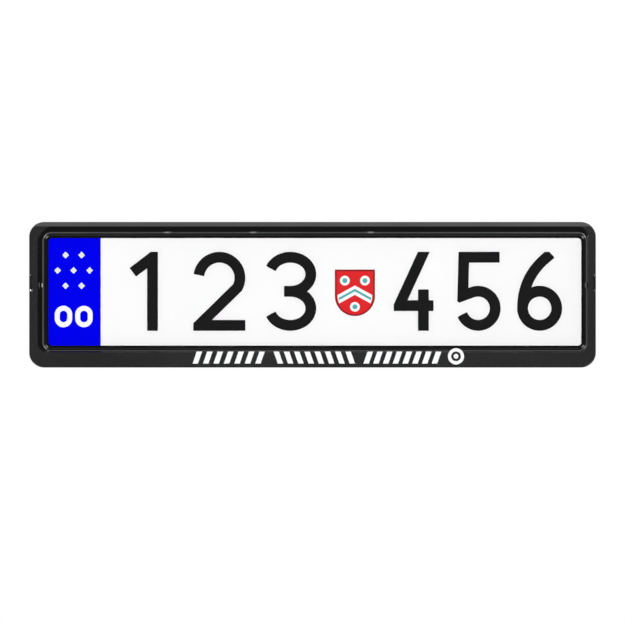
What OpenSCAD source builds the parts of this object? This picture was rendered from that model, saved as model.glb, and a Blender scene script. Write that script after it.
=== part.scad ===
// Snap-together holder for a long number plate, with the plate in it.
// The parts are drawn lying on their backs: x runs along the plate, y up it,
// and z is the depth, from the mounting surface towards the viewer.
// upright() then stands each one up, with its front towards -Y.

/* [Number plate] */
// Width of the pressed plate
plate_w = 520; // [440:1:540]
// Height of the pressed plate
plate_h = 112; // [108:1:130]
// Thickness of the aluminium sheet
plate_t = 1; // [0.8:0.1:1.2]
// Corner radius of the plate
plate_r = 9; // [8:0.5:12]
// Height of the pressed rim above the sheet
rim_rise = 0.7; // [0.5:0.1:1.2]
// Width of the pressed rim at its foot
rim_w = 3; // [2.6:0.1:3.6]
// Distance from the plate's edge to the middle of the rim
rim_inset = 2.8; // [2.2:0.1:3.4]
// Thickness of the reflective films
film_t = 0.15; // [0.1:0.05:0.3]
// Width of the coloured band at the plate's left end
band_w = 60.3; // [45:0.1:75]
// Width of the badge
badge_w = 37.8; // [30:0.1:44]
// Height of the badge
badge_h = 43.8; // [36:0.1:52]
// Distance of the badge to the right of the plate's middle
badge_x = 39.8; // [20:0.1:60]
// Distance of the badge below the plate's middle
badge_drop = 0.9; // [0:0.1:4]

/* [Frame front] */
// How far the frame covers the plate's left end
cover_left = 11.2; // [8:0.1:13]
// How far the frame covers the plate's right end
cover_right = 7; // [6:0.1:13]
// How far the frame covers the plate's long edges
cover_edge = 5.35; // [4.5:0.05:7]
// Width of the left bar
left_bar = 18; // [17:0.1:24]
// Width of the right bar
right_bar = 13.5; // [13:0.1:24]
// Width of the top bar
top_bar = 15.15; // [14.5:0.05:24]
// Width of the bottom bar, which carries the print
bottom_bar = 20.65; // [18:0.05:34]
// Outer corner radius
corner_r = 14; // [11:0.5:18]
// Corner radius of the window
window_r = 3.3; // [2:0.1:6]
// Radius of the front edge
edge_r = 1.3; // [0.8:0.1:1.6]
// Width of the slope along the top bar's outer edge
slope_w = 4.2; // [3:0.1:5]
// Drop of the slope along the top bar's outer edge
slope_drop = 3.3; // [2:0.1:4]
// Moulded wall thickness
wall = 2.2; // [1.8:0.1:2.6]

/* [Lip around the window] */
// Thickness of the lip at its edge
lip_t = 0.7; // [0.6:0.1:1.4]
// Width of the lip's inner slope
lip_inner_w = 2.3; // [1.6:0.1:3]
// Rise of the lip's inner slope
lip_inner_rise = 0.6; // [0.4:0.1:1.2]
// Width of the steep step in the lip
lip_step_w = 1; // [0.6:0.1:1.6]
// Rise of the steep step in the lip
lip_step_rise = 0.6; // [0.3:0.1:0.8]
// Width of the lip's outer slope
lip_outer_w = 1; // [0.5:0.1:1.4]
// Rise of the lip's outer slope
lip_outer_rise = 0.2; // [0.1:0.05:0.4]
// Half the width of the bead round the lip
bead_half_w = 0.75; // [0.4:0.05:0.9]
// Height of the bead
bead_rise = 0.55; // [0.3:0.05:0.7]
// Rise of the bevel from the lip to the front face
bevel_rise = 1.4; // [0.8:0.1:1.8]
// Width of the bevel on the left bar
bevel_left = 4.9; // [1:0.1:5.5]
// Width of the bevel on the right bar
bevel_right = 0.9; // [0.5:0.1:3]
// Width of the flat ridge between the top bar's slope and its bevel
ridge_w = 0.3; // [0.2:0.1:3]
// Width of the bevel on the bottom bar
bevel_bottom = 1.1; // [0.5:0.1:5]
// Length of the small stops on the top bar's bead
nib_l = 5.5; // [3:0.5:10]
// Length of the small stops on the bead at the ends
end_nib_l = 4; // [3:0.5:10]
// Half the width of a stop at its foot
nib_half_w = 1.5; // [0.9:0.1:1.6]
// Height of a stop above the lip's step
nib_rise = 1.2; // [0.8:0.1:1.3]
// How far the top bar's stops lie outside the bead
nib_shift = 0.3; // [-0.6:0.1:0.6]
// How far the left end's stop lies outside the bead
left_nib_shift = 0.9; // [-0.6:0.1:1.2]
// How far the right end's stop lies outside the bead
right_nib_shift = -0.4; // [-0.6:0.1:1.2]
// Distance between the two middle stops on the top bar
nib_spacing = 109.4; // [60:0.2:200]
// Distance of the top bar's third stop from the middle
nib_third = 135.6; // [110:0.2:220]
// Height of the end stops above the plate's middle
nib_z = 6.2; // [-20:0.2:20]
// Length of the tick on the left bar's bevel
tick_l = 5.8; // [3:0.1:10]
// Distance of the tick from the bead
tick_out = 3.5; // [1.5:0.1:4]
// Half the width of the tick at its foot
tick_half_w = 0.8; // [0.6:0.1:1.2]
// Height of the tick above its foot
tick_rise = 0.9; // [0.6:0.1:1]

/* [Snap fit] */
// Length of each snap hook
hook_l = 12; // [8:1:18]
// How far a hook stands out from the skirt
hook_reach = 1.3; // [0.9:0.1:1.6]
// Distance between neighbouring hooks on the long sides
hook_pitch = 98; // [80:1:104]
// Height of the thumb notch in each end
notch_l = 16; // [12:0.5:24]
// Depth of the thumb notch
notch_depth = 0.8; // [0.5:0.1:1.5]
// Width of the thumb notch, inwards from the end
notch_w = 2.8; // [2.5:0.1:5]
// Width of the slope round the thumb notch
notch_run = 1.9; // [1:0.1:2.4]
// Height of the thumb notches above the plate's middle
notch_z = 8.6; // [-20:0.2:20]

/* [Base] */
// Height of the ribs on the back
back_rib_h = 4; // [3.6:0.1:6]
// Thickness of the base's web
web_t = 2; // [1.6:0.1:2.6]
// Height of the strips that the plate lies on
pad_h = 1; // [0.6:0.1:1.6]
// Width of the strips that the plate lies on
pad_w = 3; // [2:0.1:4]
// Thickness of the ribs
rib_t = 1.6; // [1.2:0.1:2]
// Pitch of the ribs along the base
bay_w = 58; // [54:0.5:58]
// Pitch of the ribs up the base
bay_h = 30; // [26:0.5:30]
// Width of the windows in the web
web_window_w = 40; // [24:1:44]
// Height of the windows in the web
web_window_h = 18; // [10:1:20]
// Corner radius of the windows in the web
web_window_r = 2; // [1:0.5:4]
// Distance that the base's rim stands in from the web's edge
rim_step = 3; // [2:0.1:3.4]
// Length of the blocks that locate the plate's long edges
rest_l = 10; // [6:1:16]

/* [Screw slots] */
// Length of a screw slot, end to end
slot_l = 20; // [12:0.5:24]
// Width of a screw slot
slot_w = 6.4; // [5:0.1:7]
// Width of the pocket that the screw's head sinks into
pocket_w = 13; // [11:0.5:15]
// Thickness of the pocket's floor
pocket_floor = 3; // [2:0.1:3.5]

/* [Clearances] */
// Gap between the base's edge and the frame's skirt
edge_gap = 0.3; // [0.2:0.05:0.5]
// Gap between parts that face each other in depth
face_gap = 0.3; // [0.2:0.05:0.5]
// Gap between the plate's ends and the base's rim
plate_gap = 0.4; // [0.3:0.05:0.8]
// Distance that the skirt stops short of the mounting surface
skirt_gap = 0.8; // [0.5:0.1:0.8]

/* [Hidden] */
$fn = 64;
eps = 0.01;
loose = 1;

// Depths, from the mounting surface forwards
web_back = back_rib_h;
web_front = web_back + web_t;
plate_back = web_front + pad_h;
plate_front = plate_back + plate_t;
rim_top = plate_front + rim_rise;
lip_back = rim_top + face_gap;
lip_edge = lip_back + lip_t;
lip_foot = lip_edge + lip_inner_rise;
lip_shoulder = lip_foot + lip_step_rise;
lip_top = lip_shoulder + lip_outer_rise;
front = lip_top + bevel_rise;
skin_back = front - wall;
base_rim_top = skin_back - face_gap;

// Outlines, each as [left, right, bottom, top]
plate = [-plate_w / 2, plate_w / 2, -plate_h / 2, plate_h / 2];
window = [plate[0] + cover_left, plate[1] - cover_right, plate[2] + cover_edge, plate[3] - cover_edge];
outer = [window[0] - left_bar, window[1] + right_bar, window[2] - bottom_bar, window[3] + top_bar];
skirt_in = grow(outer, -wall);
lip_w = lip_inner_w + lip_step_w + lip_outer_w + bead_half_w;
lip_outer = grow(window, lip_w);
bevel_top = top_bar - lip_w - ridge_w - slope_w;
bevel_wide = [lip_outer[0] - bevel_left, lip_outer[1] + bevel_right,
              lip_outer[2] - bevel_bottom, lip_outer[3] + bevel_right];
bevel_tall = [lip_outer[0] - bevel_right, lip_outer[1] + bevel_right,
              lip_outer[2] - bevel_bottom, lip_outer[3] + bevel_top];
web = grow(skirt_in, -edge_gap);
// The wall behind the top bar's slope is as thick as the rest, which thickens the corner.
slope_lining = wall * (sqrt(slope_w ^ 2 + slope_drop ^ 2) / slope_w - 1) * slope_w / slope_drop;
// The base's rim stands in from the web's edge, and at its ends as far as the plate allows.
rim_out = [plate[0] - plate_gap - rib_t, plate[1] + plate_gap + rib_t, web[2] + rim_step,
           min(web[3] - rim_step, outer[3] - slope_w - slope_lining - edge_gap)];
rim_in = grow(rim_out, -rib_t);

// Corner radii that follow from the ones above
skirt_in_r = corner_r - wall;
web_r = skirt_in_r - edge_gap;
rim_out_r = web_r - rim_step;
lip_outer_r = window_r + lip_w;

// Bays of the base on each side of its middle
bays = floor((wide(rim_in) / 2 - rim_out_r) / bay_w);
// Which bays, counted in pitches from the middle, hold screw slots
outer_slots = [for (i = [-2.5, 2.5], j = [-1, 1]) [i * bay_w, j * bay_h]];
inner_slots = [for (i = [-1.5, 1.5]) [i * bay_w, 0]];
slots = concat(outer_slots, inner_slots);
web_windows = [for (i = [0.5 - bays:bays - 0.5], j = [-1, 1])
    if (!has_slot([i * bay_w, j * bay_h])) [i * bay_w, j * bay_h]];
hooks_x = [for (i = [-2:2]) i * hook_pitch];
rests_x = [for (i = [-1.5:1.5]) i * hook_pitch];

function has_slot(p) = len([for (s = slots) if (norm(s - p) < 1) s]) > 0;
function grow(r, by) = [r[0] - by, r[1] + by, r[2] - by, r[3] + by];
function wide(r) = r[1] - r[0];
function high(r) = r[3] - r[2];
function middle(r) = [(r[0] + r[1]) / 2, (r[2] + r[3]) / 2];

// Stands a part up, so that its depth runs towards -Y.
module upright() {
    rotate([90, 0, 0]) children();
}

// A flat outline given thickness between two depths.
module slab(from, to) {
    translate([0, 0, from]) linear_extrude(to - from) children();
}

// A rectangle with round corners.
module rounded(r, radius) {
    translate([r[0] + radius, r[2]]) square([wide(r) - 2 * radius, high(r)]);
    translate([r[0], r[2] + radius]) square([wide(r), high(r) - 2 * radius]);
    for (x = [r[0] + radius, r[1] - radius], y = [r[2] + radius, r[3] - radius])
        translate([x, y]) circle(radius);
}

// A band between two rounded rectangles.
module band(r, radius, width) {
    difference() {
        rounded(r, radius);
        rounded(grow(r, -width), radius - width);
    }
}

// A slot with round ends, along x.
module stadium(length, width) {
    square([length - width, width], center = true);
    for (side = [-1, 1])
        translate([side * (length - width) / 2, 0]) circle(width / 2);
}

// Sweeps a profile round a rounded rectangle. The profile's x is the distance
// outwards from the path, and its y is the depth.
module sweep_round(r, radius) {
    corners = [[r[1] - radius, r[3] - radius], [r[0] + radius, r[3] - radius],
               [r[0] + radius, r[2] + radius], [r[1] - radius, r[2] + radius]];
    sides = [[r[1] - radius, middle(r)[1]], [middle(r)[0], r[3] - radius],
             [r[0] + radius, middle(r)[1]], [middle(r)[0], r[2] + radius]];
    spans = [high(r) - 2 * radius, wide(r) - 2 * radius];
    for (k = [0:3]) {
        translate(corners[k]) rotate(90 * k)
            rotate_extrude(angle = 90) translate([radius, 0]) children();
        translate(sides[k]) rotate(90 * k)
            rotate([90, 0, 0]) linear_extrude(spans[k % 2], center = true)
                translate([radius, 0]) children();
    }
}

// Places what is drawn at a side's face: x points outwards and y along the side.
// Side 0 is the right one, then the top, the left and the bottom.
module on_side(r, k, along) {
    spots = [[r[1], along], [along, r[3]], [r[0], along], [along, r[2]]];
    translate(spots[k]) rotate(90 * k) children();
}

// The frame's section near its edge: a strip of skin, the round edge and the skirt.
module shell_profile() {
    translate([-2 * wall, skin_back]) square([2 * wall - edge_r, wall]);
    translate([-wall, skirt_gap]) square([wall, front - edge_r - skirt_gap]);
    translate([-edge_r, front - edge_r]) circle(edge_r);
}

// What the slope takes off the top bar's outer edge, as seen from the frame's end.
module slope_profile() {
    over = loose / slope_w;
    polygon([[outer[3] - slope_w, front], [outer[3] + loose, front - slope_drop * (1 + over)],
             [outer[3] + loose, front + loose], [outer[3] - slope_w, front + loose]]);
}

// Skirt and front skin, before the window is cut.
module frame_shell() {
    difference() {
        union() {
            sweep_round(outer, corner_r) shell_profile();
            slab(skin_back, front) rounded(skirt_in, skirt_in_r);
            slope_backing();
        }
        translate([outer[0] - loose, 0, 0]) rotate([90, 0, 90])
            linear_extrude(wide(outer) + 2 * loose) slope_profile();
    }
}

// Keeps the wall even behind the top bar's slope.
module slope_backing() {
    run = slope_w + slope_lining - wall;
    intersection() {
        translate([outer[0], skirt_in[3], skin_back + eps]) rotate([90, 0, 90])
            linear_extrude(wide(outer)) polygon([[eps, 0], [-run, 0], [0, -run * slope_drop / slope_w],
                                                 [eps, -run * slope_drop / slope_w]]);
        slab(0, front) rounded(grow(outer, -wall / 2), corner_r - wall / 2);
    }
}

// The slope from the front face down to the lip, wide on the left and top bars. The corner
// between those two is cut across, so that the slope is no shallower there.
module bevel_cut() {
    hull() {
        slab(lip_top, lip_top + eps) rounded(lip_outer, lip_outer_r, $fn = 32);
        for (r = [bevel_wide, bevel_tall])
            slab(front, front + eps) rounded(r, lip_outer_r + bevel_right, $fn = 32);
    }
}

// The opening in the front skin, which the lip then fills from its edge inwards.
module skin_opening() {
    slab(skin_back - loose, lip_top + eps) rounded(lip_outer, lip_outer_r);
}

// The lip's section, from the window's edge outwards: three slopes and the bead's two flanks.
module lip_profile() {
    polygon([[0, lip_back], [wall, lip_back], [wall + lip_w, lip_top],
             [lip_w + bead_half_w, lip_top], [lip_w, lip_top + bead_rise], [lip_w - bead_half_w, lip_top],
             [lip_inner_w + lip_step_w, lip_shoulder], [lip_inner_w, lip_foot], [0, lip_edge]]);
}

// A short straight ridge along a side.
module crest(length, half_w, rise) {
    rotate([90, 0, 0]) linear_extrude(length, center = true)
        polygon([[-half_w, 0], [half_w, 0], [0, rise]]);
}

// Small stops on the bead, three along the top bar and one at each end.
module nibs() {
    for (x = [-nib_third, -nib_spacing / 2, nib_spacing / 2])
        on_side(lip_outer, 1, x) nib(nib_l, nib_shift);
    on_side(lip_outer, 0, nib_z) nib(end_nib_l, right_nib_shift);
    on_side(lip_outer, 2, nib_z) nib(end_nib_l, left_nib_shift);
}

module nib(length, shift) {
    translate([shift, 0, lip_shoulder]) crest(length, nib_half_w, nib_rise);
}

// A short tick on the left bar's bevel, level with the front face.
module tick() {
    translate([tick_out, 0, front - tick_rise]) crest(tick_l, tick_half_w, tick_rise);
}

// A hook inside the skirt, sloped behind so that it slides over the web's edge.
module hook() {
    ledge = web_back - face_gap;
    rotate([90, 0, 0]) linear_extrude(hook_l, center = true)
        polygon([[eps, ledge], [-hook_reach, ledge], [-hook_reach, ledge - hook_reach / 2],
                 [eps, skirt_gap]]);
}

module hooks() {
    for (k = [1, 3], x = hooks_x) on_side(skirt_in, k, x) hook();
    for (k = [0, 2]) on_side(skirt_in, k, 0) hook();
}

// A shallow scoop in the front edge with sloped sides, to start prising the frame off.
module thumb_notch() {
    hull() {
        slab(front - notch_depth, front - notch_depth + eps) notch_outline(notch_run);
        slab(front, front + loose) notch_outline(0);
    }
}

module notch_outline(inset) {
    rounded([inset - notch_w, notch_w + loose, inset - notch_l / 2, notch_l / 2 - inset],
            notch_run - inset + loose / 2, $fn = 32);
}

module front_frame() color("#2a2a2a") upright() {
    difference() {
        frame_shell();
        bevel_cut();
        skin_opening();
        for (k = [0, 2]) on_side(outer, k, notch_z) thumb_notch();
    }
    sweep_round(window, window_r) lip_profile();
    nibs();
    on_side(lip_outer, 2, nib_z) tick();
    hooks();
}

// Ribs on the back: a ring near the edge and a grid inside it.
module back_ribs() {
    reach = grow(rim_in, -rib_t);
    slab(0, web_back + eps) {
        band(rim_in, rim_out_r - rib_t, rib_t);
        for (i = [-bays:bays]) translate([i * bay_w - rib_t / 2, reach[2]]) square([rib_t, high(reach)]);
        for (j = [-1.5:1.5]) translate([reach[0], j * bay_h - rib_t / 2]) square([wide(reach), rib_t]);
    }
}

// The strips that the plate's back lies on.
module pads() {
    for (j = [-1.5:1.5]) translate([rim_in[0] + rim_out_r, j * bay_h - pad_w / 2])
        square([wide(rim_in) - 2 * rim_out_r, pad_w]);
}

// Blocks between the rim and the plate's long edges.
module rests() {
    for (x = rests_x) {
        translate([x - rest_l / 2, rim_in[2]]) square([rest_l, plate[2] - face_gap - rim_in[2]]);
        translate([x - rest_l / 2, plate[3] + face_gap]) square([rest_l, rim_in[3] - plate[3] - face_gap]);
    }
}

module base_carrier() color("#1f1f20") upright() {
    pocket_l = slot_l - slot_w + pocket_w;
    difference() {
        union() {
            slab(web_back, web_front) rounded(web, web_r);
            slab(web_front - eps, base_rim_top) band(rim_out, rim_out_r, rib_t);
            slab(web_front - eps, plate_back) pads();
            slab(web_front - eps, plate_front) rests();
            back_ribs();
            for (s = slots) slab(0, web_front) translate(s)
                stadium(pocket_l + 2 * rib_t, pocket_w + 2 * rib_t);
        }
        for (s = slots) translate([s[0], s[1], 0]) {
            slab(pocket_floor, plate_back + loose) stadium(pocket_l, pocket_w);
            slab(-loose, pocket_floor + loose) stadium(slot_l, slot_w);
        }
        for (p = web_windows) slab(web_back - loose, plate_back + loose) translate(p)
            rounded([-web_window_w / 2, web_window_w / 2, -web_window_h / 2, web_window_h / 2],
                    web_window_r);
    }
}

// Section of the pressed rim, above the sheet or hollow behind it.
module rim_profile(width, foot) {
    polygon([[-width / 2, foot], [width / 2, foot],
             [width / 4, foot + rim_rise], [-width / 4, foot + rim_rise]]);
}

module number_plate() color("#c9ccce") upright() {
    path = grow(plate, -rim_inset);
    difference() {
        union() {
            slab(plate_back, plate_front) rounded(plate, plate_r);
            sweep_round(path, plate_r - rim_inset) rim_profile(rim_w, plate_front);
        }
        sweep_round(path, plate_r - rim_inset) rim_profile(rim_w - plate_t, plate_back - eps);
    }
}

// The flat field inside the pressed rim.
field = grow(plate, -rim_inset - rim_w / 2 - film_t);
field_r = plate_r - rim_inset - rim_w / 2 - film_t;

module badge_outline(w, h) {
    translate([-w / 2, w / 2 - h / 2]) square([w, h - w / 2]);
    translate([0, w / 2 - h / 2]) circle(w / 2);
}

module band_film() color("#0202f0") upright() slab(plate_front, plate_front + film_t) {
    intersection() {
        rounded(field, field_r);
        translate([plate[0], plate[2]]) square([band_w, plate_h]);
    }
}

module badge_film() color("#e03434") upright()
    slab(plate_front, plate_front + film_t)
        translate([badge_x, -badge_drop]) badge_outline(badge_w, badge_h);

front_frame();
base_carrier();
number_plate();
band_film();
badge_film();
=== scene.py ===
"""Looks of a number plate holder: moulded black frame, pressed plate, films and print."""

import math

import bmesh
import bpy
import numpy as np
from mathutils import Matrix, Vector


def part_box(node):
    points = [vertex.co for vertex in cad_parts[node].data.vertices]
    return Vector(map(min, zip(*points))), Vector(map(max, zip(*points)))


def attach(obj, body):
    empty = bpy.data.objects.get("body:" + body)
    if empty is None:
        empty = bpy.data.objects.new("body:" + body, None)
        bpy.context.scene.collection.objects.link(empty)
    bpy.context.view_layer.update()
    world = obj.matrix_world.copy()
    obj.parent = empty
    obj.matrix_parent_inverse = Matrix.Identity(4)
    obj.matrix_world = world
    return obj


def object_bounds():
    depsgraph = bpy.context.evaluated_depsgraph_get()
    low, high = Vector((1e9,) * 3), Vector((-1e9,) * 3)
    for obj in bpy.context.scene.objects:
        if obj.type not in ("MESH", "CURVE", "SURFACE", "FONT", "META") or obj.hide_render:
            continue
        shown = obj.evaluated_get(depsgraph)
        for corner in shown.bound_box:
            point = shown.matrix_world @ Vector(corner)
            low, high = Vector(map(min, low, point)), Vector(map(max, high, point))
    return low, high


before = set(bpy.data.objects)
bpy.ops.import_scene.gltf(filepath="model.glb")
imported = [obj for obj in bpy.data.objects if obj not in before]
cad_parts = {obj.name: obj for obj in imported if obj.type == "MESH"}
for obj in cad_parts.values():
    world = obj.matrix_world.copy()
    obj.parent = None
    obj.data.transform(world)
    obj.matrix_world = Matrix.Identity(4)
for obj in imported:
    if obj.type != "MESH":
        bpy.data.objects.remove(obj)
cad_box = [list(corner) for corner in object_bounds()]

MM = 0.001
PHOTO = 625  # the photograph's width and height in pixels
PIXEL = 0.9414 * MM  # one of them, at the holder
CENTRE = (312.22, 294.75)  # the holder's middle in the photograph
LOW, HIGH = Vector(cad_box[0]), Vector(cad_box[1])
MIDDLE = (LOW + HIGH) / 2
FRONT = LOW.y


def at(px, py):
    """Where a pixel of the photograph lies on the holder, as (x, z) in metres."""
    return (
        MIDDLE.x + (px - CENTRE[0]) * PIXEL,
        MIDDLE.z - (py - CENTRE[1]) * PIXEL,
    )


# Places in the photograph, in pixels

# The next six places are where glints are painted on the frame.
TOP_STOPS = [(px, 232.45) for px in (166.5, 252.3, 370.3)]
LEFT_STOP = (42.0, 285.5)
LEFT_TICK = (38.8, 285.2)
LEFT_SPECK = (31.2, 290.3)
LEFT_NOTCH = (30.9, 282.3)
RIGHT_NOTCH = (593.3, 282.3)
FIRST_NUMBERS = [(px, 291.3) for px in (148.0, 219.0, 290.0)]
LAST_NUMBERS = [(px, 291.3) for px in (416.0, 478.0, 539.5)]
BAND_NUMBERS = [(px, 316.5) for px in (63.0, 83.5)]
LATTICE_MIDDLE, LATTICE_STEP = 73.1, 16.0
LATTICE_ROWS = (255.0, 270.4, 285.8)
STRIP_TOP, STRIP_FOOT = 351.5, 363.5
STRIP_GROUPS = [(192, 265), (273, 355), (363, 441)]
ROUNDEL = (455.6, 356.3)


# Materials

USUAL = (0.3, 0.7)  # most of a noise texture's values lie between these
CELLS, CELL_EDGE = 420.0, 0.08  # the film's fine cells: their scale and where their lines end
SIDEWAYS = -0.02  # a face whose normal's Y is above this looks sideways or back
PLASTIC_IOR = 1.5
GLINT_IOR = 2.9  # raised reflection that paints a strong glint on, a painted highlight
UNEVEN_IOR = 0.07
SPOT_FADE = (0.75, 1.15)  # where a spot starts and ends to fade, as shares of its size


class Nodes:
    """A short way to write the node tree of a new material or world."""

    def __init__(self, owner):
        owner.use_nodes = True
        self.owner = owner
        self.tree = owner.node_tree
        self.tree.nodes.clear()
        kind = "World" if isinstance(owner, bpy.types.World) else "Material"
        self.out = self.tree.nodes.new("ShaderNodeOutput" + kind)

    def add(self, kind, **values):
        """Adds a node, with values for its settings and its inputs."""
        node = self.tree.nodes.new("ShaderNode" + kind)
        for key, value in values.items():
            if hasattr(node, key) and key not in node.inputs:
                setattr(node, key, value)
            else:
                self.put(node.inputs[key], value)
        return node

    def put(self, socket, value):
        if isinstance(value, bpy.types.NodeSocket):
            self.tree.links.new(value, socket)
        else:
            socket.default_value = value

    def place(self):
        """Position on the object, which doesn't depend on the view."""
        return self.add("TexCoord").outputs["Object"]

    def noise(self, scale, detail, rough=0.55, stretch=None):
        where = self.place()
        if stretch:
            where = self.add("Mapping", Vector=where, Scale=stretch).outputs[0]
        return self.add(
            "TexNoise", Vector=where, Scale=scale, Detail=detail, Roughness=rough
        ).outputs["Fac"]

    def cell_lines(self):
        """The cells of reflective film: 0 on the lines between them, and 1 inside."""
        cells = self.add(
            "TexVoronoi", Vector=self.place(), Scale=CELLS, feature="DISTANCE_TO_EDGE"
        )
        return self.spread(cells.outputs["Distance"], 0.0, 1.0, 0.0, CELL_EDGE)

    def spread(self, value, low, high, start=0.0, end=1.0):
        """Turns values from start to end into values from low to high."""
        node = self.add("MapRange")
        for name, v in zip(
            ("Value", "From Min", "From Max", "To Min", "To Max"),
            (value, start, end, low, high),
        ):
            self.put(node.inputs[name], v)
        return node.outputs[0]

    def vary(self, noise, low, high):
        """A number that wanders between two others."""
        return self.spread(noise, low, high, *USUAL)

    def tint(self, noise, first, second, reach=USUAL):
        """A colour that wanders between two others."""
        return self.mix(self.spread(noise, 0.0, 1.0, *reach), first, second)

    def math(self, operation, a, b):
        return self.two_inputs("Math", operation, a, b)

    def vector(self, operation, a, b):
        return self.two_inputs("VectorMath", operation, a, b)

    def two_inputs(self, kind, operation, a, b):
        node = self.add(kind, operation=operation)
        self.put(node.inputs[0], a)
        self.put(node.inputs[1], b)
        return node.outputs[0]

    def length(self, vector):
        return self.add("VectorMath", operation="LENGTH", Vector=vector).outputs["Value"]

    def mix(self, share, a, b):
        node = self.add("Mix", data_type="RGBA")
        self.put(node.inputs["Factor"], share)
        self.put(node.inputs[6], a)
        self.put(node.inputs[7], b)
        return node.outputs[2]

    def bump(self, height, strength, distance, normal=None):
        node = self.add("Bump", Height=height, Strength=strength, Distance=distance)
        if normal is not None:
            self.put(node.inputs["Normal"], normal)
        return node.outputs[0]

    def principled(self, colour, roughness, normal=None, gloss=0.5, metallic=0.0):
        """The usual shader, where gloss is its Specular IOR Level."""
        shader = self.add("BsdfPrincipled", Roughness=roughness, Metallic=metallic)
        self.put(shader.inputs["Base Color"], colour)
        self.put(shader.inputs["Specular IOR Level"], gloss)
        if normal is not None:
            self.put(shader.inputs["Normal"], normal)
        return shader

    def either(self, share, first, second):
        """The first shader where share is 0, and the second where it is 1."""
        both = self.add("MixShader")
        for socket, value in zip(both.inputs, (share, first.outputs[0], second.outputs[0])):
            self.put(socket, value)
        return both

    def finish(self, shader):
        self.tree.links.new(shader.outputs[0], self.out.inputs["Surface"])
        return self.owner


def material_nodes(name):
    return Nodes(bpy.data.materials.new(name))


def linear(*srgb):
    """A colour as it looks on screen, 0 to 255, turned into linear light."""
    parts = [c / 255 for c in srgb]
    return tuple(
        c / 12.92 if c <= 0.04045 else ((c + 0.055) / 1.055) ** 2.4 for c in parts
    ) + (1.0,)


def plastic(name, dark, light, rough, grain, edge, glint_spots=()):
    """Moulded black plastic: fine grain, uneven sheen and softened edges.

    The spot list gives oval places with painted glints, where the reflection is raised:
    (middle x, z), (half width, half height) and how strongly, up to 1.
    """
    n = material_nodes(name)
    clouds = n.noise(28.0, 4.0)
    flow = n.noise(9.0, 3.0, 0.6, stretch=(0.35, 1.0, 1.6))
    speck = n.noise(1900.0, 2.0, 0.5)
    colour = n.tint(clouds, dark, light)
    roughness = n.math(
        "ADD", n.vary(flow, rough - 0.02, rough + 0.03), n.vary(speck, -0.01, 0.02)
    )
    soft = n.add("Bevel", Radius=edge, samples=6).outputs[0]
    wavy = n.bump(flow, 0.12, 0.6 * MM, soft)
    shader = n.principled(colour, roughness, n.bump(speck, grain, 0.02 * MM, wavy))
    # Painted highlights: in the listed oval spots the IOR, and so the reflection, is raised to
    # make glints.
    if glint_spots:
        glint_mask = 0.0
        for (x, z), (half_w, half_h), glint_strength in glint_spots:
            offset = n.vector("SUBTRACT", n.place(), (x, 0, z))
            scaled = n.vector("MULTIPLY", offset, (1 / half_w, 0, 1 / half_h))
            spot = n.spread(n.length(scaled), glint_strength, 0.0, *SPOT_FADE)
            glint_mask = n.math("MAXIMUM", glint_mask, spot)
        patches = n.vary(n.noise(8.0, 3.0), -UNEVEN_IOR, UNEVEN_IOR)
        glint_ior = n.spread(glint_mask, PLASTIC_IOR, GLINT_IOR)
        n.put(shader.inputs["IOR"], n.math("ADD", glint_ior, patches))
    return n.finish(shader)


def reflective_sheet(name):
    """White reflective film on the plate's face, bare rolled aluminium behind."""
    n = material_nodes(name)
    geometry = n.add("NewGeometry")
    parts = n.add("SeparateXYZ", Vector=geometry.outputs["Normal"])
    behind = n.math("GREATER_THAN", parts.outputs["Y"], SIDEWAYS)
    lines = n.cell_lines()
    clouds = n.noise(14.0, 3.0)
    paper = n.tint(clouds, linear(248, 248, 248), linear(251, 251, 251))
    paper = n.mix(n.spread(lines, 0.02, 0.0), paper, linear(226, 228, 232))
    rolled = n.noise(160.0, 3.0, 0.6, stretch=(0.05, 1.0, 8.0))
    metal = n.tint(rolled, linear(196, 198, 201), linear(214, 216, 218))
    face = n.principled(
        paper, n.vary(clouds, 0.34, 0.42), n.bump(lines, 0.05, 0.02 * MM), gloss=0.4
    )
    back = n.principled(
        metal, n.vary(rolled, 0.3, 0.46), n.bump(rolled, 0.15, 0.03 * MM), metallic=1.0
    )
    return n.finish(n.either(behind, face, back))


def film(name, colour, other, rough, gloss=0.04):
    """Coloured film or ink with a faint cell pattern and uneven density."""
    n = material_nodes(name)
    clouds = n.noise(55.0, 4.0)
    lines = n.cell_lines()
    shade = n.tint(clouds, colour, other, reach=(0.25, 0.75))
    roughness = n.vary(clouds, rough - 0.04, rough + 0.05)
    return n.finish(n.principled(shade, roughness, n.bump(lines, 0.04, 0.02 * MM), gloss))


# Painted glints, by raised reflection, on the stops on the lip, the tick beside the left one,
# and the two thumb notches
painted_glint_spots = [(at(*place), (3.4 * MM, 0.6 * MM), 0.57) for place in TOP_STOPS] + [
    (at(*LEFT_STOP), (0.75 * MM, 2.4 * MM), 1.0),
    (at(*LEFT_TICK), (0.6 * MM, 2.6 * MM), 0.6),
    (at(*LEFT_SPECK), (1.6 * MM, 1.6 * MM), 1.0),
    (at(*LEFT_NOTCH), (1.0 * MM, 6.0 * MM), 0.9),
    (at(*RIGHT_NOTCH), (0.8 * MM, 6.0 * MM), 0.45),
]
black_frame = plastic(
    "frame_plastic",
    linear(11, 11, 12),
    linear(14, 14, 15),
    rough=0.13,
    grain=0.12,
    edge=0.12 * MM,
    glint_spots=painted_glint_spots,
)
black_base = plastic(
    "base_plastic",
    linear(20, 20, 21),
    linear(27, 27, 28),
    rough=0.5,
    grain=0.8,
    edge=0.4 * MM,
)
sheet = reflective_sheet("plate_sheet")
blue = film("band_film", linear(1, 1, 240), linear(2, 3, 234), 0.4, gloss=0.01)
red = film("badge_film", linear(223, 39, 44), linear(218, 44, 47), 0.4)
dark_red = film("badge_edge", linear(142, 36, 40), linear(136, 38, 40), 0.4)
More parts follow.
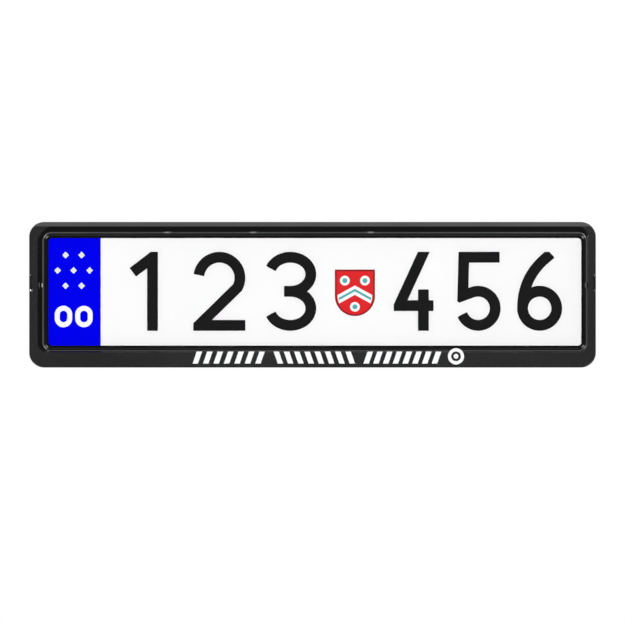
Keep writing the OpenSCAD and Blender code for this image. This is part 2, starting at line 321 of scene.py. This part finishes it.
foil = film("character_foil", linear(23, 23, 24), linear(27, 27, 28), 0.42)
white_ink = film("white_ink", linear(250, 250, 250), linear(247, 247, 248), 0.5)
pale_ink = film("pale_ink", linear(232, 236, 226), linear(226, 231, 222), 0.5)
teal_ink = film("teal_ink", linear(92, 176, 178), linear(84, 168, 172), 0.5)

for node, material in {
    "front_frame": black_frame,
    "base_carrier": black_base,
    "number_plate": sheet,
    "band_film": blue,
    "badge_film": red,
}.items():
    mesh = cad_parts[node].data
    mesh.materials.clear()
    mesh.materials.append(material)


# Distance fields: negative inside a shape, positive outside

MITRE = 1.45  # how far a pointed corner reaches, in half widths of its stroke
SHARP_TURN = (25, 170)  # the turns that get a pointed corner, in degrees
CAP_REACH, CAP_SIDE = 1.05, 1.1  # the room round an end that is cut square, in half widths


def union(distances):
    """The distance to the nearest of several shapes."""
    return np.minimum.reduce(list(distances))


def is_open(points):
    return math.dist(points[0], points[-1]) > 1e-9


def heading_and_length(start, end):
    dx, dz = end[0] - start[0], end[1] - start[1]
    length = math.hypot(dx, dz)
    return (dx / length, dz / length), length


def along_and_across(x, z, point, heading):
    """How far places are from a point, along a heading and to either side of it."""
    dx, dz = x - point[0], z - point[1]
    ux, uz = heading
    return dx * ux + dz * uz, np.abs(dz * ux - dx * uz)


def stroke_field(x, z, points, half):
    """Distance to a stroke: sharp turns are pointed and open ends are cut square."""
    parts, headings = [], []
    for start, end in zip(points, points[1:]):
        heading, length = heading_and_length(start, end)
        headings.append(heading)
        along, across = along_and_across(x, z, start, heading)
        over = np.maximum(np.maximum(-along, along - length), 0)
        parts.append(np.hypot(across, over) - half)
    for corner, before, after in zip(points[1:], headings, headings[1:]):
        if is_sharp(before, after):
            parts.append(corner_field(x, z, corner, before, after, half))
    field = union(parts)
    if is_open(points):
        ends = (points[0], headings[0], -1), (points[-1], headings[-1], 1)
        for end, heading, sign in ends:
            along, across = along_and_across(x, z, end, heading)
            past = along * sign
            beyond = (past > 0) & (past < CAP_REACH * half) & (across < CAP_SIDE * half)
            field = np.where(beyond, np.maximum(field, past), field)
    return field


def is_sharp(before, after):
    cosine = before[0] * after[0] + before[1] * after[1]
    turn = math.degrees(math.acos(max(-1, min(1, cosine))))
    return SHARP_TURN[0] < turn < SHARP_TURN[1]


def corner_field(x, z, corner, before, after, half):
    """Distance to the pointed outer side of a turn, which is cut off where it gets long."""
    dx, dz = x - corner[0], z - corner[1]
    side = -1 if before[0] * after[1] - before[1] * after[0] > 0 else 1
    edges = [(-uz * side, ux * side) for ux, uz in (before, after)]
    mx, mz = edges[0][0] + edges[1][0], edges[0][1] + edges[1][1]
    outwards = (dx * mx + dz * mz) / math.hypot(mx, mz)
    wedge = np.maximum(-outwards, outwards - MITRE * half)
    for nx, nz in edges:
        wedge = np.maximum(wedge, dx * nx + dz * nz - half)
    return wedge


# From distance fields to meshes

MARGIN = 3  # grid steps round a shape's box
SHORTEST_LOOP = 9  # outlines with fewer points are specks of the grid
STRAIGHT = 0.012 * MM  # points this near to a line are dropped from it
SEAM, SLIVER = 0.002 * MM, 0.001 * MM  # points and edges smaller than these are joined


def loops_of(field, xs, zs):
    """Closed outlines where the field crosses zero, by marching squares."""
    inside = field < 0
    corners_inside = (
        inside[:-1, :-1].astype(int) + inside[:-1, 1:] + inside[1:, :-1] + inside[1:, 1:]
    )

    def crossing(a, b):
        share = field[a] / (field[a] - field[b])
        return (
            xs[a[1]] + (xs[b[1]] - xs[a[1]]) * share,
            zs[a[0]] + (zs[b[0]] - zs[a[0]]) * share,
        )

    edge_points = {}
    follower = {}
    for r, c in zip(*np.nonzero((corners_inside > 0) & (corners_inside < 4))):
        corners = [(r, c), (r, c + 1), (r + 1, c + 1), (r + 1, c)]
        enters, leaves = [], []
        for k in range(4):
            a, b = corners[k], corners[(k + 1) % 4]
            if inside[a] == inside[b]:
                continue
            key = (min(a, b), max(a, b))
            edge_points[key] = crossing(a, b)
            (leaves if inside[a] else enters).append((k, key))
        for k, key in leaves:
            # With two crossings of each kind, pair the nearest one going round.
            nearest = min(enters, key=lambda e: (e[0] - k) % 4)
            follower[key] = nearest[1]
    loops = []
    while follower:
        key = next(iter(follower))
        loop = []
        while key in follower:
            loop.append(edge_points[key])
            key = follower.pop(key)
        if len(loop) >= SHORTEST_LOOP:
            loops.append(tidy_loop(loop))
    return loops


def tidy_loop(points):
    """Drops points that lie on the line between their neighbours."""
    points = np.array(points)
    count = len(points)
    keep = np.zeros(count, bool)
    stack = [(0, count // 2), (count // 2, count)]
    while stack:
        a, b = stack.pop()
        keep[a] = keep[b % count] = True
        if b - a < 2:
            continue
        away = distance_to_line(points[a + 1 : b], points[a], points[b % count])
        k = int(np.argmax(away))
        if away[k] > STRAIGHT:
            stack += [(a, a + 1 + k), (a + 1 + k, b)]
    return points[keep]


def distance_to_line(points, start, end):
    """How far points are from a line, or from its start if it has no length."""
    line = end - start
    length = np.hypot(*line)
    offset = points - start
    if length < 1e-12:
        return np.hypot(*offset.T)
    return np.abs(line[0] * offset[:, 1] - line[1] * offset[:, 0]) / length


def raised_shape(name, field_of, box, pitch, back, front, bevel, material, slot):
    """A flat shape standing on the plate or frame, with its outline from a distance field.

    box is (x from, x to, z from, z to), and pitch the step of the grid that the field is
    worked out on. back and front are distances in front of the mounting surface. All are in
    metres.
    """
    x0, x1, z0, z1 = box
    xs = np.arange(x0 - MARGIN * pitch, x1 + MARGIN * pitch, pitch)
    zs = np.arange(z0 - MARGIN * pitch, z1 + MARGIN * pitch, pitch)
    outline = outline_curve(name, loops_of(field_of(*np.meshgrid(xs, zs)), xs, zs))
    outline.bevel_depth = bevel
    outline.bevel_resolution = 1
    outline.offset = -bevel
    outline.extrude = (front - back) / 2 - bevel
    mesh = filled_mesh(name, outline)
    # Turning (x, z, depth) into (x, -depth, z) keeps the handedness, so normals stay outwards.
    for vertex in mesh.vertices:
        px, pz, depth = vertex.co
        vertex.co = (px, -(back + front) / 2 - depth, pz)
    join_seams(mesh)
    for face in mesh.polygons:
        face.use_smooth = False
    mesh.materials.clear()
    mesh.materials.append(material)
    obj = bpy.data.objects.new(name, mesh)
    bpy.context.scene.collection.objects.link(obj)
    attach(obj, "root")


def box_round(places, room):
    """The box of some places (x, z), with room on all sides."""
    xs, zs = zip(*places)
    return (min(xs) - room, max(xs) + room, min(zs) - room, max(zs) + room)


def outline_curve(name, loops):
    curve = bpy.data.curves.new(name, "CURVE")
    curve.dimensions = "2D"
    curve.fill_mode = "BOTH"
    for loop in loops:
        spline = curve.splines.new("POLY")
        spline.points.add(len(loop) - 1)
        for point, (px, pz) in zip(spline.points, loop):
            point.co = (px, pz, 0, 1)
        spline.use_cyclic_u = True
    return curve


def filled_mesh(name, curve):
    """The mesh that Blender makes of a filled, extruded curve, which is then removed."""
    holder = bpy.data.objects.new(name + "_outline", curve)
    bpy.context.scene.collection.objects.link(holder)
    bpy.context.view_layer.update()
    mesh = bpy.data.meshes.new_from_object(
        holder.evaluated_get(bpy.context.evaluated_depsgraph_get())
    )
    bpy.data.objects.remove(holder)
    bpy.data.curves.remove(curve)
    return mesh


def join_seams(mesh):
    """Merges the doubled points that filling a curve leaves between cap and wall."""
    work = bmesh.new()
    work.from_mesh(mesh)
    bmesh.ops.remove_doubles(work, verts=work.verts, dist=SEAM)
    bmesh.ops.dissolve_degenerate(work, edges=work.edges, dist=SLIVER)
    bmesh.ops.recalc_face_normals(work, faces=work.faces)
    work.to_mesh(mesh)
    work.free()


# Digits


def arc(cx, cz, radius, start, end, steps=28):
    """Points on an arc, from one angle to another in degrees."""
    return [
        (cx + radius * math.cos(math.radians(a)), cz + radius * math.sin(math.radians(a)))
        for a in np.linspace(start, end, steps)
    ]


def digit_paths(digit, a, h):
    """Centre lines of a digit, a wide to each side of its middle and h high above and below.

    The shapes' proportions are fractions of these two.
    """
    top, low = h - a, a - h
    bowl = h / 2
    if digit == "0":
        ring = arc(0, top, a, 0, 180) + arc(0, low, a, 180, 360)
        return [ring + [ring[0]]]
    if digit == "1":
        return [[(-a * 0.75, h * 0.56), (a * 0.2, h), (a * 0.2, -h)]]
    if digit == "2":
        return [arc(0, top, a, 172, -28) + [(-a, -h), (a, -h)]]
    if digit == "3":
        k = a / bowl
        upper = [(x * k, z) for x, z in arc(0, h - bowl, bowl, 160, -90)]
        lower = [(x * k, z) for x, z in arc(0, bowl - h, bowl, 90, -160)]
        middle = [(-a * 0.3, 0)]
        return [upper + middle, middle + lower]
    if digit == "4":
        return [
            [(a * 0.529, h * 1.25), (-a, -h * 0.42), (a, -h * 0.42)],
            [(a * 0.42, h * 0.05), (a * 0.42, -h)],
        ]
    if digit == "5":
        flag = [(a * 0.92, h), (-a * 0.84, h), (-a * 0.9, -h * 0.129)]
        return [flag + arc(0, low, a, 110, -158)]
    if digit == "6":
        ring = arc(0, low, a, 0, 360, 48)
        stem = [
            (
                (1 - t) ** 2 * -a + 2 * t * (1 - t) * -a + t * t * a * 0.42,
                (1 - t) ** 2 * low + 2 * t * (1 - t) * h * 0.42 + t * t * h,
            )
            for t in np.linspace(0, 1, 20)
        ]
        return [ring, stem]
    raise ValueError(digit)


def digit_shape(name, digit, centre, size, stroke, **style):
    """One digit, centred at a point (x, z) and filling a size (width, height)."""
    cx, cz = centre
    width, height = size
    half = stroke / 2
    a, h = (width - stroke) / 2, (height - stroke) / 2
    paths = [[(cx + x, cz + z) for x, z in path] for path in digit_paths(digit, a, h)]
    # An open end on the top or bottom line goes on for half a stroke, to the digit's edge.
    for path in paths:
        for end, neighbour in ((0, 1), (-1, -2)):
            x, z = path[end]
            if is_open(path) and abs(abs(z - cz) - h) < 1e-6:
                (ux, uz), _ = heading_and_length(path[neighbour], path[end])
                path[end] = (x + ux * half, z + uz * half)

    def field(x, z):
        strokes = union(stroke_field(x, z, path, half) for path in paths)
        sides = np.maximum(np.abs(x - cx) - width / 2, np.abs(z - cz) - height / 2)
        return np.maximum(strokes, sides)

    box = (cx - width / 2, cx + width / 2, cz - height / 2, cz + height / 2)
    raised_shape(name, field, box, **style)


# The plate's numbers and the band's print

film_low, film_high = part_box("band_film")
PLATE_FRONT, FILM_FRONT = -film_high.y, -film_low.y
WIDE, NARROW = 52.0 * PIXEL, 45.0 * PIXEL
CHARACTER_HEIGHT, CHARACTER_STROKE = 79.0 * PIXEL, 10.8 * PIXEL
BAND_DIGIT, BAND_STROKE = (17.5 * PIXEL, 21.5 * PIXEL), 5.0 * PIXEL
DIAMOND = 3.4 * PIXEL  # from its middle to a point


def ink(surface, thickness, material, slot):
    """How print is made: a thin shape that is sunk a little into its surface."""
    return dict(
        pitch=0.2 * MM,
        back=surface - 0.02 * MM,
        front=surface + thickness,
        bevel=0.01 * MM,
        material=material,
        slot=slot,
    )


pressed = dict(
    pitch=0.5 * MM,
    back=PLATE_FRONT - 0.05 * MM,
    front=PLATE_FRONT + 0.95 * MM,
    bevel=0.28 * MM,
    material=foil,
    slot="band_film",
)
for digits, places, width in (("123", FIRST_NUMBERS, WIDE), ("456", LAST_NUMBERS, NARROW)):
    for digit, place in zip(digits, places):
        digit_shape(
            "character_" + digit,
            digit,
            at(*place),
            (width, CHARACTER_HEIGHT),
            CHARACTER_STROKE,
            **pressed,
        )

for k, place in enumerate(BAND_NUMBERS):
    digit_shape(
        f"band_digit_{k + 1}",
        "0",
        at(*place),
        BAND_DIGIT,
        BAND_STROKE,
        **ink(FILM_FRONT, 0.05 * MM, white_ink, "band_film"),
    )

lattice = [
    at(LATTICE_MIDDLE + (k - (count - 1) / 2) * LATTICE_STEP, py)
    for count, py in zip((2, 3, 2), LATTICE_ROWS)
    for k in range(count)
]


def lattice_field(x, z):
    """Small upright diamonds."""
    return union(
        (np.abs(x - cx) + np.abs(z - cz) - DIAMOND) / math.sqrt(2) for cx, cz in lattice
    )


raised_shape(
    "band_marks",
    lattice_field,
    box_round(lattice, 5 * MM),
    **ink(FILM_FRONT, 0.05 * MM, pale_ink, "band_film"),
)


# The badge

badge_low, badge_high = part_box("badge_film")
badge_middle = (badge_low + badge_high) / 2
badge_w = badge_high.x - badge_low.x
EDGE_WIDTH = 1.6 * MM
CHEVRON_PEAK = 2.5 * MM  # above the badge's middle
CHEVRON_FALL = 0.55  # how steeply its arms go down
DISCS = [(-9.5 * MM, 11.5 * MM), (9.5 * MM, 11.5 * MM), (0, -13.2 * MM)]  # from the middle


def badge_field(x, z, inset):
    """The badge's outline, moved in: flat top, straight sides and a round foot."""
    cz = badge_low.z + badge_w / 2
    sides = np.abs(x - badge_middle.x) - badge_w / 2
    foot = np.hypot(x - badge_middle.x, z - cz) - badge_w / 2
    body = np.where(z > cz, sides, foot)
    return np.maximum(body, z - badge_high.z) + inset


def badge_edge_field(x, z):
    """The dark edge, which stays a little inside the badge's outline."""
    return np.maximum(badge_field(x, z, 0.02 * MM), -badge_field(x, z, EDGE_WIDTH))


def chevron_field(half_height, inset):
    """A plain chevron across the badge."""

    def field(x, z):
        fall = np.abs(x - badge_middle.x) * CHEVRON_FALL
        level = z - (badge_middle.z + CHEVRON_PEAK) + fall
        return np.maximum(np.abs(level) - half_height, badge_field(x, z, inset))

    return field


def discs_field(radius):
    """Two discs above the chevron and one below it."""

    def field(x, z):
        return union(
            np.hypot(x - badge_middle.x - dx, z - badge_middle.z - dz) - radius
            for dx, dz in DISCS
        )

    return field


badge_box = (badge_low.x, badge_high.x, badge_low.z, badge_high.z)
for name, field, material, thickness in (
    ("badge_edge", badge_edge_field, dark_red, 0.04 * MM),
    ("badge_chevron", chevron_field(4.4 * MM, 2.6 * MM), white_ink, 0.05 * MM),
    ("badge_stripe", chevron_field(1.2 * MM, 3.4 * MM), teal_ink, 0.06 * MM),
    ("badge_discs", discs_field(4.6 * MM), white_ink, 0.05 * MM),
    ("badge_centres", discs_field(2.3 * MM), teal_ink, 0.06 * MM),
):
    raised_shape(name, field, badge_box, **ink(FILM_FRONT, thickness, material, "badge_film"))


# Print on the bottom bar

BAR_PITCH, BAR_WIDTH = 10.4 * PIXEL, 5.4 * PIXEL
LEAN = 0.35  # how far a bar leans sideways, for each unit up
RING_RADIUS, RING_HALF, DOT_RADIUS = 6.5 * PIXEL, 1.6 * PIXEL, 2.4 * PIXEL
bar_white = ink(-FRONT, 0.04 * MM, white_ink, "frame_plastic")


def bars_field(x_from, x_to, z_low, z_high, lean):
    """Slanted bars side by side between two ends."""
    count = int(round((x_to - x_from) / BAR_PITCH))
    step = (x_to - x_from) / count
    middle = (z_low + z_high) / 2

    def field(x, z):
        shifted = x - (z - middle) * lean
        bars = union(
            np.abs(shifted - (x_from + (k + 0.5) * step)) - BAR_WIDTH / 2
            for k in range(count)
        )
        return np.maximum(bars, np.abs(z - middle) - (z_high - z_low) / 2)

    return field


for k, ((px0, px1), lean) in enumerate(zip(STRIP_GROUPS, (LEAN, -LEAN, LEAN))):
    x0, z_high = at(px0, STRIP_TOP)
    x1, z_low = at(px1, STRIP_FOOT)
    raised_shape(
        f"strip_print_{k + 1}",
        bars_field(x0, x1, z_low, z_high, lean),
        (x0 - 4 * MM, x1 + 4 * MM, z_low, z_high),
        **bar_white,
    )


def roundel_field(x, z):
    """A ring with a dot in it."""
    cx, cz = at(*ROUNDEL)
    r = np.hypot(x - cx, z - cz)
    return np.minimum(np.abs(r - RING_RADIUS) - RING_HALF, r - DOT_RADIUS)


raised_shape("strip_roundel", roundel_field, box_round([at(*ROUNDEL)], 9 * MM), **bar_white)


# Camera

LENS, SENSOR = 150.0, 36.0
CLOSER = 0.999  # the outline, which PIXEL was measured on, lies a little behind the front face
scene = bpy.context.scene
camera = bpy.data.objects.new("camera", bpy.data.cameras.new("camera"))
camera.data.lens = LENS
camera.data.sensor_width = SENSOR
scene.collection.objects.link(camera)
distance = CLOSER * PHOTO * PIXEL * LENS / SENSOR
camera.location = (
    MIDDLE.x,
    FRONT - distance,
    MIDDLE.z - (PHOTO / 2 - CENTRE[1]) * PIXEL,
)
camera.rotation_euler = (math.radians(90), 0, 0)
camera.data.clip_end = 100
scene.camera = camera
scene.view_settings.view_transform = "Standard"


# Light


def lamp(name, azimuth, elevation, away, size, watts):
    """A soft box that faces the holder. Azimuth 0 is straight in front, 90 to the right."""
    a, e = math.radians(azimuth), math.radians(elevation)
    towards = Vector((math.sin(a) * math.cos(e), -math.cos(a) * math.cos(e), math.sin(e)))
    data = bpy.data.lights.new(name, "AREA")
    data.shape = "RECTANGLE"
    data.size, data.size_y = size
    data.energy = watts
    obj = bpy.data.objects.new(name, data)
    obj.location = MIDDLE + towards * away
    obj.rotation_mode = "QUATERNION"
    obj.rotation_quaternion = towards.to_track_quat("Z", "Y")
    scene.collection.objects.link(obj)
    return obj


# The front box lights the plate evenly and leaves the black plastic's sheen to the tent. The
# corner boxes do the opposite: they are what the lip's round corners show.
front_box = lamp(
    "front_box", azimuth=0, elevation=3, away=3.6, size=(1.4, 0.85), watts=114
)
front_box.visible_glossy = False
for side in (-1, 1):
    for level in (-1, 1):
        corner_box = lamp(
            f"corner_{side}_{level}",
            azimuth=side * 50,
            elevation=level * 38,
            away=2.7,
            size=(1.3, 1.1),
            watts=29,
        )
        corner_box.visible_diffuse = False
# A box above and behind keeps the floor pale. It stands behind the plate's face, so it lights
# the holder's back and the floor alone.
floor_box = lamp(
    "floor_box", azimuth=180, elevation=60, away=2.3, size=(1.6, 1.0), watts=64
)
floor_box.visible_glossy = False

# The room is a pale tent with a darker gap round the camera, which the flat black faces show.
# Each stop is a direction and how bright the tent is there. A direction is 1 straight towards
# the camera, 0 to the sides and -1 straight away from it.
TENT = 2.5  # the brightness that white on the ramp stands for
TENT_LOW, TENT_HIGH = 1.3, 0.78  # what that is multiplied by straight down and straight up
DIFFUSE_SHARE = 0.07  # how much of the tent's light falls on matt surfaces
stops = [
    (-1.0, 1.25),
    (-0.35, 1.1),
    (-0.22, 2.4),
    (0.41, 2.4),
    (0.475, 0.12),
    (0.6, 0.055),
    (0.95, 0.055),
    (0.972, 0.47),
    (1.0, 0.51),
]
world = bpy.data.worlds.new("studio")
scene.world = world
n = Nodes(world)
axes = n.add("SeparateXYZ", Vector=n.add("TexCoord").outputs["Generated"])
tent = n.add("ValToRGB", Fac=n.spread(axes.outputs["Y"], 0.0, 1.0, 1.0, -1.0))
ramp = tent.color_ramp
while len(ramp.elements) > 1:
    ramp.elements.remove(ramp.elements[-1])
for k, (facing, level) in enumerate(stops):
    stop = ramp.elements[0] if k == 0 else ramp.elements.new((facing + 1) / 2)
    stop.position = (facing + 1) / 2
    stop.color = (level / TENT, level / TENT, level / TENT, 1)
by_height = n.spread(axes.outputs["Z"], TENT * TENT_LOW, TENT * TENT_HIGH, -1.0, 1.0)
rays = n.add("LightPath")
softer = n.spread(rays.outputs["Is Diffuse Ray"], 1.0, DIFFUSE_SHARE)
strength = n.math("MULTIPLY", by_height, softer)
dim = n.add("Background", Color=tent.outputs["Color"], Strength=strength)
white = n.add("Background", Color=(1, 1, 1, 1), Strength=1.0)
n.finish(n.either(rays.outputs["Is Camera Ray"], dim, white))


# A pale floor below the camera's view. It fades out at its edge into the white around it.

FLOOR_RADIUS = 0.85
FLOOR_FADE = (0.35, 0.84)  # how far from its middle it starts to fade and is gone
FLOOR_BEHIND, FLOOR_BELOW = 0.25, 0.6
floor_mesh = bpy.data.meshes.new("floor")
work = bmesh.new()
bmesh.ops.create_circle(work, cap_ends=True, radius=FLOOR_RADIUS, segments=96)
work.to_mesh(floor_mesh)
work.free()
floor = bpy.data.objects.new("floor", floor_mesh)
floor.location = (MIDDLE.x, FLOOR_BEHIND, -FLOOR_BELOW)
scene.collection.objects.link(floor)
n = material_nodes("floor")
flat = n.principled((0.86, 0.86, 0.86, 1), 0.8)
clear = n.add("BsdfTransparent")
share_clear = n.spread(n.length(n.place()), 0.0, 1.0, *FLOOR_FADE)
floor_mesh.materials.append(n.finish(n.either(share_clear, flat, clear)))

bpy.context.view_layer.update()
